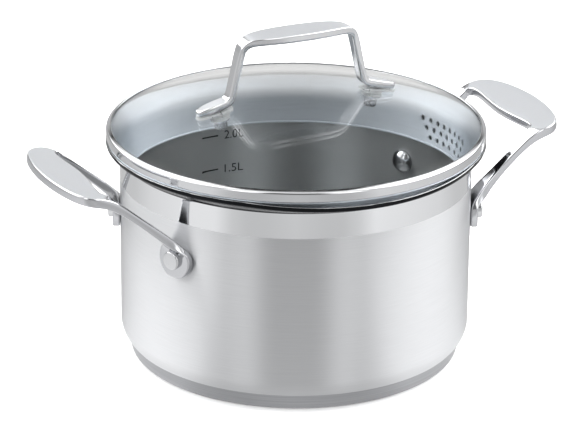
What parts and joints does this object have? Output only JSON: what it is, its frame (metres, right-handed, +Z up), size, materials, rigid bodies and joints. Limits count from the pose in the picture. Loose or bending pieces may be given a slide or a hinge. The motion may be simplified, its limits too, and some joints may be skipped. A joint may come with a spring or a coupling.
{
  "type": "saucepan",
  "caption": "Stainless steel pot with side loop handles, a domed glass strainer lid with a bridge handle, and an encapsulated base",
  "frame": {"origin": "centre of the underside of the base disc, on the surface that the pot stands on", "axes": "+Z up along the pot axis, +X through the right side handle (the handles and the lid handle lie on X), +Y towards the rear pouring lip"},
  "size_m": [0.2834, 0.1958, 0.1728],
  "materials": {
    "brushed_steel": "brushed",
    "satin_steel": "satin",
    "polished_steel": "polished",
    "aluminium_core": "raw",
    "clear_glass": "clear",
    "silicone": "translucent"
  },
  "bodies": {
    "pot": {"pot_body": "brushed_steel", "base_core": "aluminium_core", "base_cap": "brushed_steel", "side_handle_right": "satin_steel", "side_handle_left": "satin_steel", "rivet_right_front": "polished_steel", "rivet_right_rear": "polished_steel", "rivet_left_front": "polished_steel", "rivet_left_rear": "polished_steel"},
    "lid": {"lid_glass": "clear_glass", "lid_rim_band": "polished_steel", "strainer_skirt": "brushed_steel", "lid_handle": "polished_steel", "lid_pad_left": "silicone", "lid_pad_right": "silicone", "lid_seal_left": "silicone", "lid_seal_right": "silicone", "lid_washer_left": "polished_steel", "lid_washer_right": "polished_steel", "lid_screw_left": "polished_steel", "lid_screw_right": "polished_steel"}
  },
  "joints": [
    {"name": "lid_lift", "type": "slide", "parent": "pot", "child": "lid", "axis": [0, 0, 1], "range_m": [0, 0.12]}
  ]
}
